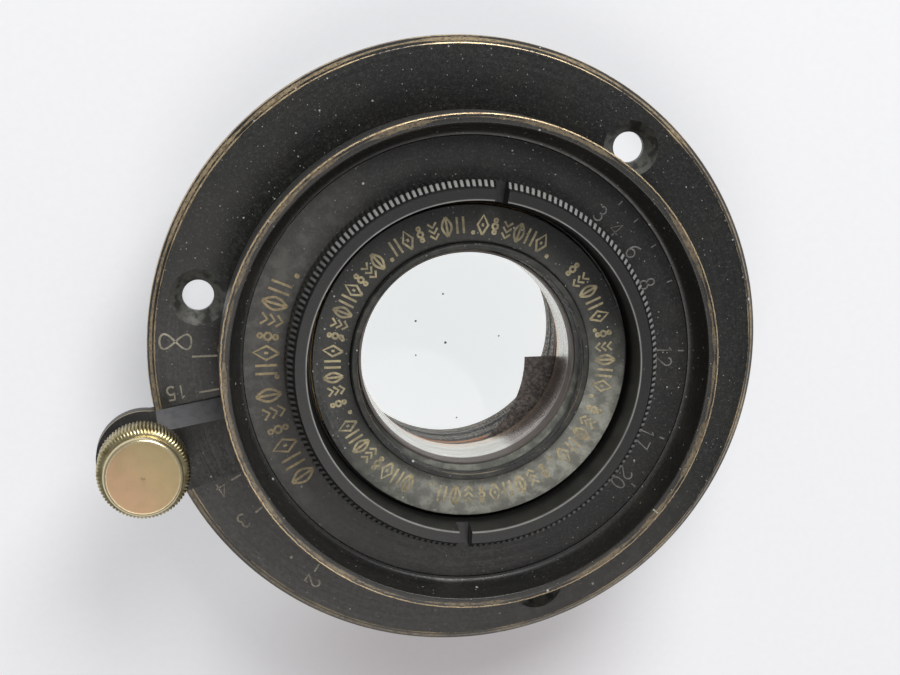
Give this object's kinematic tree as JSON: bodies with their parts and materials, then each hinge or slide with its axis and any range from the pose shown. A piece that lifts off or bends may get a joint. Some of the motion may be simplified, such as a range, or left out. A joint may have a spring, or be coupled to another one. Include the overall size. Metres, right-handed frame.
{
  "type": "photographic lens in focusing flange",
  "caption": "Black lacquered brass camera lens in a round screw flange, with a lever helical focus, a knurled diaphragm ring inside a dished front and a turned brass knob.",
  "frame": {"origin": "on the optical axis, in the plane of the flange's back face", "axes": "+Z along the optical axis out of the front of the lens; +X points away from the focusing lever's side, along the longest extent; shortest extent along Z"},
  "size_m": [0.0667, 0.0616, 0.0265],
  "materials": {
    "black_lacquer": "satin black lacquer over brass, worn through on the edges",
    "bare_brass": "turned brass, aged",
    "knob_brass": "knurled brass, satin",
    "worn_cap": "worn coppery face",
    "blued_blades": "thin blackened steel",
    "screw_steel": "steel",
    "optical_glass": "polished clear glass"
  },
  "bodies": {
    "mount": {"mounting_flange": "black_lacquer", "rear_housing": "black_lacquer", "guide_tube": "bare_brass", "guide_cover_ring": "black_lacquer", "focus_stop_pin_1": "bare_brass", "focus_stop_pin_2": "bare_brass"},
    "lever": {"focusing_lever": "black_lacquer", "knob_stud": "screw_steel", "lever_knob": "knob_brass", "knob_cap": "worn_cap", "cam_sleeve": "bare_brass", "lever_screw_1": "screw_steel", "lever_screw_2": "screw_steel", "lever_screw_3": "screw_steel"},
    "barrel": {"barrel_tube": "bare_brass", "follower_screw_1": "screw_steel", "follower_screw_2": "screw_steel", "follower_screw_3": "screw_steel", "front_dish": "black_lacquer", "cell_seat": "bare_brass", "front_cell": "black_lacquer", "front_bezel": "black_lacquer", "front_glass_outer": "optical_glass", "front_glass_inner": "optical_glass", "iris_base_plate": "black_lacquer", "rear_cell": "black_lacquer", "rear_glass_inner": "optical_glass", "rear_glass_outer": "optical_glass", "rear_bezel": "bare_brass"},
    "iris_control": {"iris_ring": "black_lacquer", "scale_plate": "black_lacquer", "iris_cam_ring": "bare_brass", "iris_drive_pin": "screw_steel"},
    "blade_1": {"iris_blade_1": "blued_blades"},
    "blade_2": {"iris_blade_2": "blued_blades"},
    "blade_3": {"iris_blade_3": "blued_blades"},
    "blade_4": {"iris_blade_4": "blued_blades"},
    "blade_5": {"iris_blade_5": "blued_blades"},
    "blade_6": {"iris_blade_6": "blued_blades"},
    "blade_7": {"iris_blade_7": "blued_blades"},
    "blade_8": {"iris_blade_8": "blued_blades"},
    "blade_9": {"iris_blade_9": "blued_blades"},
    "blade_10": {"iris_blade_10": "blued_blades"}
  },
  "joints": [
    {"name": "lever_turn", "type": "hinge", "parent": "mount", "child": "lever", "pos_m": [0, 0, 0.0032], "axis": [0, 0, 1], "range_deg": [-9.4, 47.1]},
    {"name": "barrel_slide", "type": "slide", "parent": "mount", "child": "barrel", "axis": [0, 0, 1], "range_m": [-0.0017, 0.0084]},
    {"name": "iris_turn", "type": "hinge", "parent": "barrel", "child": "iris_control", "pos_m": [0, 0, 0.0098], "axis": [0, 0, 1], "range_deg": [-88, 0]},
    {"name": "blade_1_pivot", "type": "hinge", "parent": "barrel", "child": "blade_1", "pos_m": [0.01237, 0.00866, 0.0003], "axis": [0, 0, 1], "range_deg": [0, 35]},
    {"name": "blade_2_pivot", "type": "hinge", "parent": "barrel", "child": "blade_2", "pos_m": [0.00492, 0.01428, 0.0003], "axis": [0, 0, 1], "range_deg": [0, 35]},
    {"name": "blade_3_pivot", "type": "hinge", "parent": "barrel", "child": "blade_3", "pos_m": [-0.00441, 0.01444, 0.0003], "axis": [0, 0, 1], "range_deg": [0, 35]},
    {"name": "blade_4_pivot", "type": "hinge", "parent": "barrel", "child": "blade_4", "pos_m": [-0.01206, 0.00909, 0.0003], "axis": [0, 0, 1], "range_deg": [0, 35]},
    {"name": "blade_5_pivot", "type": "hinge", "parent": "barrel", "child": "blade_5", "pos_m": [-0.0151, 0.00026, 0.0003], "axis": [0, 0, 1], "range_deg": [0, 35]},
    {"name": "blade_6_pivot", "type": "hinge", "parent": "barrel", "child": "blade_6", "pos_m": [-0.01237, -0.00866, 0.0003], "axis": [0, 0, 1], "range_deg": [0, 35]},
    {"name": "blade_7_pivot", "type": "hinge", "parent": "barrel", "child": "blade_7", "pos_m": [-0.00492, -0.01428, 0.0003], "axis": [0, 0, 1], "range_deg": [0, 35]},
    {"name": "blade_8_pivot", "type": "hinge", "parent": "barrel", "child": "blade_8", "pos_m": [0.00441, -0.01444, 0.0003], "axis": [0, 0, 1], "range_deg": [0, 35]},
    {"name": "blade_9_pivot", "type": "hinge", "parent": "barrel", "child": "blade_9", "pos_m": [0.01206, -0.00909, 0.0003], "axis": [0, 0, 1], "range_deg": [0, 35]},
    {"name": "blade_10_pivot", "type": "hinge", "parent": "barrel", "child": "blade_10", "pos_m": [0.0151, -0.00026, 0.0003], "axis": [0, 0, 1], "range_deg": [0, 35]}
  ],
  "couplings": [
    {"joint": "barrel_slide", "follows": "lever_turn", "m_per_rad": 0.0101},
    {"joint": "blade_1_pivot", "follows": "iris_turn", "ratio": -0.394},
    {"joint": "blade_2_pivot", "follows": "iris_turn", "ratio": -0.394},
    {"joint": "blade_3_pivot", "follows": "iris_turn", "ratio": -0.394},
    {"joint": "blade_4_pivot", "follows": "iris_turn", "ratio": -0.394},
    {"joint": "blade_5_pivot", "follows": "iris_turn", "ratio": -0.394},
    {"joint": "blade_6_pivot", "follows": "iris_turn", "ratio": -0.394},
    {"joint": "blade_7_pivot", "follows": "iris_turn", "ratio": -0.394},
    {"joint": "blade_8_pivot", "follows": "iris_turn", "ratio": -0.394},
    {"joint": "blade_9_pivot", "follows": "iris_turn", "ratio": -0.394},
    {"joint": "blade_10_pivot", "follows": "iris_turn", "ratio": -0.394}
  ]
}
